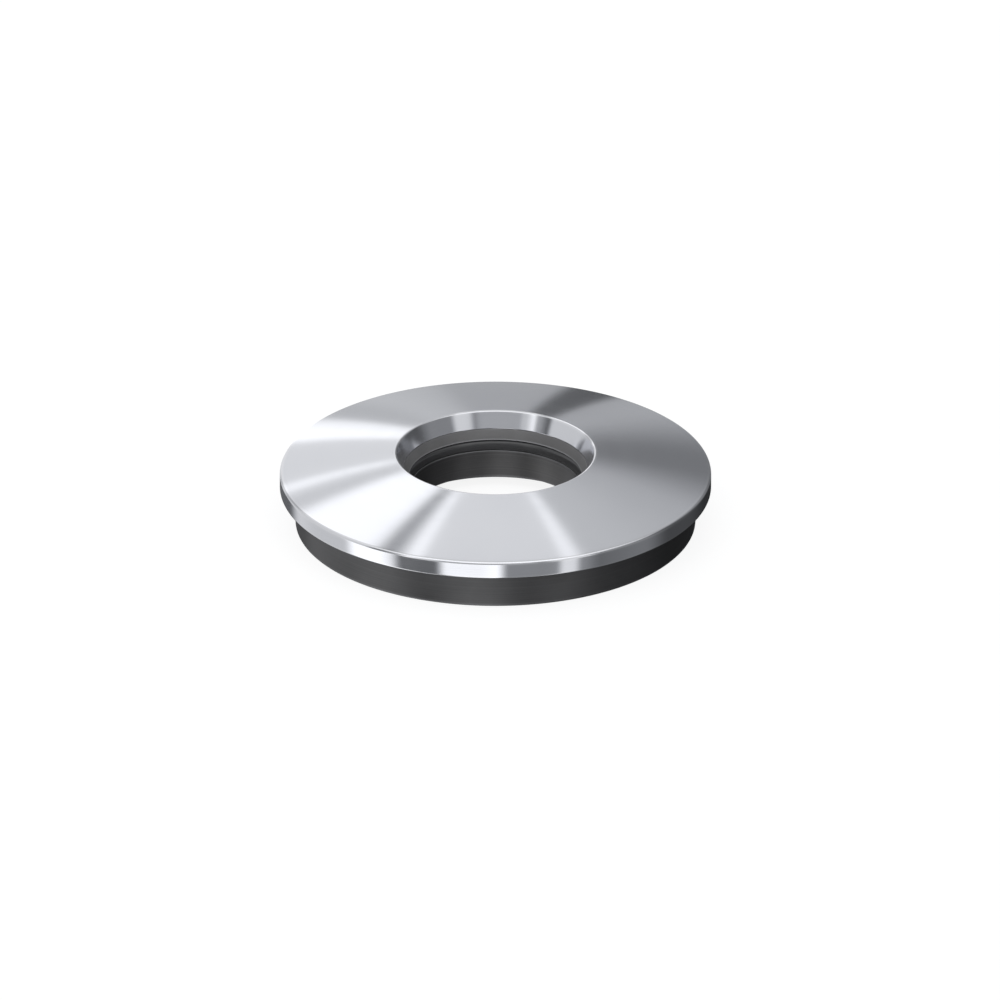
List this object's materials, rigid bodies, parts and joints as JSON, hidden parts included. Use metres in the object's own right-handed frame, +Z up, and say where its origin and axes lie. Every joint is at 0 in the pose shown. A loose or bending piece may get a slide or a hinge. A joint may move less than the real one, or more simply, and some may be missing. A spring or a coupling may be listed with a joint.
{
  "type": "sealed thrust ball bearing",
  "caption": "Sealed thrust ball bearing: a bright disc with a domed back and a coned hole turns on caged balls above a black shrouded lower washer with a plain bore.",
  "frame": {"origin": "on the bearing's axis, in the plane of the bottom face that rests on its abutment", "axes": "+Z up along the bearing's axis, from the shaft washer to the housing washer; X and Y are any two radial directions, with ball_01 on +X"},
  "size_m": [0.064, 0.064, 0.0114],
  "materials": {
    "polished_steel": "turned and polished, bright",
    "grey_steel": "satin, pressed",
    "black_oxide_steel": "black oxide, semi-matt",
    "black_shroud": "black coated, satin",
    "black_rubber": "moulded, matt",
    "cage_polyamide": "moulded natural polyamide",
    "ball_steel": "lapped, mirror"
  },
  "bodies": {
    "lower": {"shaft_washer": "black_oxide_steel", "outer_shroud": "black_shroud", "outer_seal": "black_rubber"},
    "upper": {"housing_washer": "polished_steel", "inner_seal_case": "grey_steel", "inner_seal_lip": "black_rubber"},
    "cage": {"ball_cage": "cage_polyamide"},
    "ball_01": {"ball_01": "ball_steel"},
    "ball_02": {"ball_02": "ball_steel"},
    "ball_03": {"ball_03": "ball_steel"},
    "ball_04": {"ball_04": "ball_steel"},
    "ball_05": {"ball_05": "ball_steel"},
    "ball_06": {"ball_06": "ball_steel"},
    "ball_07": {"ball_07": "ball_steel"},
    "ball_08": {"ball_08": "ball_steel"},
    "ball_09": {"ball_09": "ball_steel"},
    "ball_10": {"ball_10": "ball_steel"},
    "ball_11": {"ball_11": "ball_steel"},
    "ball_12": {"ball_12": "ball_steel"},
    "ball_13": {"ball_13": "ball_steel"},
    "ball_14": {"ball_14": "ball_steel"},
    "ball_15": {"ball_15": "ball_steel"},
    "ball_16": {"ball_16": "ball_steel"},
    "ball_17": {"ball_17": "ball_steel"},
    "ball_18": {"ball_18": "ball_steel"},
    "ball_19": {"ball_19": "ball_steel"},
    "ball_20": {"ball_20": "ball_steel"}
  },
  "joints": [
    {"name": "housing_washer_spin", "type": "hinge", "parent": "lower", "child": "upper", "pos_m": [0, 0, 0.009], "axis": [0, 0, 1], "continuous": true},
    {"name": "cage_spin", "type": "hinge", "parent": "lower", "child": "cage", "pos_m": [0, 0, 0.005], "axis": [0, 0, 1], "continuous": true},
    {"name": "ball_01_roll", "type": "hinge", "parent": "cage", "child": "ball_01", "pos_m": [0.0215, 0, 0.005], "axis": [1, 0, 0], "continuous": true},
    {"name": "ball_02_roll", "type": "hinge", "parent": "cage", "child": "ball_02", "pos_m": [0.02045, 0.00664, 0.005], "axis": [0.9511, 0.309, 0], "continuous": true},
    {"name": "ball_03_roll", "type": "hinge", "parent": "cage", "child": "ball_03", "pos_m": [0.01739, 0.01264, 0.005], "axis": [0.809, 0.5878, 0], "continuous": true},
    {"name": "ball_04_roll", "type": "hinge", "parent": "cage", "child": "ball_04", "pos_m": [0.01264, 0.01739, 0.005], "axis": [0.5878, 0.809, 0], "continuous": true},
    {"name": "ball_05_roll", "type": "hinge", "parent": "cage", "child": "ball_05", "pos_m": [0.00664, 0.02045, 0.005], "axis": [0.309, 0.9511, 0], "continuous": true},
    {"name": "ball_06_roll", "type": "hinge", "parent": "cage", "child": "ball_06", "pos_m": [0, 0.0215, 0.005], "axis": [0, 1, 0], "continuous": true},
    {"name": "ball_07_roll", "type": "hinge", "parent": "cage", "child": "ball_07", "pos_m": [-0.00664, 0.02045, 0.005], "axis": [-0.309, 0.9511, 0], "continuous": true},
    {"name": "ball_08_roll", "type": "hinge", "parent": "cage", "child": "ball_08", "pos_m": [-0.01264, 0.01739, 0.005], "axis": [-0.5878, 0.809, 0], "continuous": true},
    {"name": "ball_09_roll", "type": "hinge", "parent": "cage", "child": "ball_09", "pos_m": [-0.01739, 0.01264, 0.005], "axis": [-0.809, 0.5878, 0], "continuous": true},
    {"name": "ball_10_roll", "type": "hinge", "parent": "cage", "child": "ball_10", "pos_m": [-0.02045, 0.00664, 0.005], "axis": [-0.9511, 0.309, 0], "continuous": true},
    {"name": "ball_11_roll", "type": "hinge", "parent": "cage", "child": "ball_11", "pos_m": [-0.0215, 0, 0.005], "axis": [-1, 0, 0], "continuous": true},
    {"name": "ball_12_roll", "type": "hinge", "parent": "cage", "child": "ball_12", "pos_m": [-0.02045, -0.00664, 0.005], "axis": [-0.9511, -0.309, 0], "continuous": true},
    {"name": "ball_13_roll", "type": "hinge", "parent": "cage", "child": "ball_13", "pos_m": [-0.01739, -0.01264, 0.005], "axis": [-0.809, -0.5878, 0], "continuous": true},
    {"name": "ball_14_roll", "type": "hinge", "parent": "cage", "child": "ball_14", "pos_m": [-0.01264, -0.01739, 0.005], "axis": [-0.5878, -0.809, 0], "continuous": true},
    {"name": "ball_15_roll", "type": "hinge", "parent": "cage", "child": "ball_15", "pos_m": [-0.00664, -0.02045, 0.005], "axis": [-0.309, -0.9511, 0], "continuous": true},
    {"name": "ball_16_roll", "type": "hinge", "parent": "cage", "child": "ball_16", "pos_m": [0, -0.0215, 0.005], "axis": [0, -1, 0], "continuous": true},
    {"name": "ball_17_roll", "type": "hinge", "parent": "cage", "child": "ball_17", "pos_m": [0.00664, -0.02045, 0.005], "axis": [0.309, -0.9511, 0], "continuous": true},
    {"name": "ball_18_roll", "type": "hinge", "parent": "cage", "child": "ball_18", "pos_m": [0.01264, -0.01739, 0.005], "axis": [0.5878, -0.809, 0], "continuous": true},
    {"name": "ball_19_roll", "type": "hinge", "parent": "cage", "child": "ball_19", "pos_m": [0.01739, -0.01264, 0.005], "axis": [0.809, -0.5878, 0], "continuous": true},
    {"name": "ball_20_roll", "type": "hinge", "parent": "cage", "child": "ball_20", "pos_m": [0.02045, -0.00664, 0.005], "axis": [0.9511, -0.309, 0], "continuous": true}
  ],
  "couplings": [
    {"joint": "cage_spin", "follows": "housing_washer_spin", "ratio": 0.5},
    {"joint": "ball_01_roll", "follows": "housing_washer_spin", "ratio": -3.8697},
    {"joint": "ball_02_roll", "follows": "housing_washer_spin", "ratio": -3.8697},
    {"joint": "ball_03_roll", "follows": "housing_washer_spin", "ratio": -3.8697},
    {"joint": "ball_04_roll", "follows": "housing_washer_spin", "ratio": -3.8697},
    {"joint": "ball_05_roll", "follows": "housing_washer_spin", "ratio": -3.8697},
    {"joint": "ball_06_roll", "follows": "housing_washer_spin", "ratio": -3.8697},
    {"joint": "ball_07_roll", "follows": "housing_washer_spin", "ratio": -3.8697},
    {"joint": "ball_08_roll", "follows": "housing_washer_spin", "ratio": -3.8697},
    {"joint": "ball_09_roll", "follows": "housing_washer_spin", "ratio": -3.8697},
    {"joint": "ball_10_roll", "follows": "housing_washer_spin", "ratio": -3.8697},
    {"joint": "ball_11_roll", "follows": "housing_washer_spin", "ratio": -3.8697},
    {"joint": "ball_12_roll", "follows": "housing_washer_spin", "ratio": -3.8697},
    {"joint": "ball_13_roll", "follows": "housing_washer_spin", "ratio": -3.8697},
    {"joint": "ball_14_roll", "follows": "housing_washer_spin", "ratio": -3.8697},
    {"joint": "ball_15_roll", "follows": "housing_washer_spin", "ratio": -3.8697},
    {"joint": "ball_16_roll", "follows": "housing_washer_spin", "ratio": -3.8697},
    {"joint": "ball_17_roll", "follows": "housing_washer_spin", "ratio": -3.8697},
    {"joint": "ball_18_roll", "follows": "housing_washer_spin", "ratio": -3.8697},
    {"joint": "ball_19_roll", "follows": "housing_washer_spin", "ratio": -3.8697},
    {"joint": "ball_20_roll", "follows": "housing_washer_spin", "ratio": -3.8697}
  ]
}
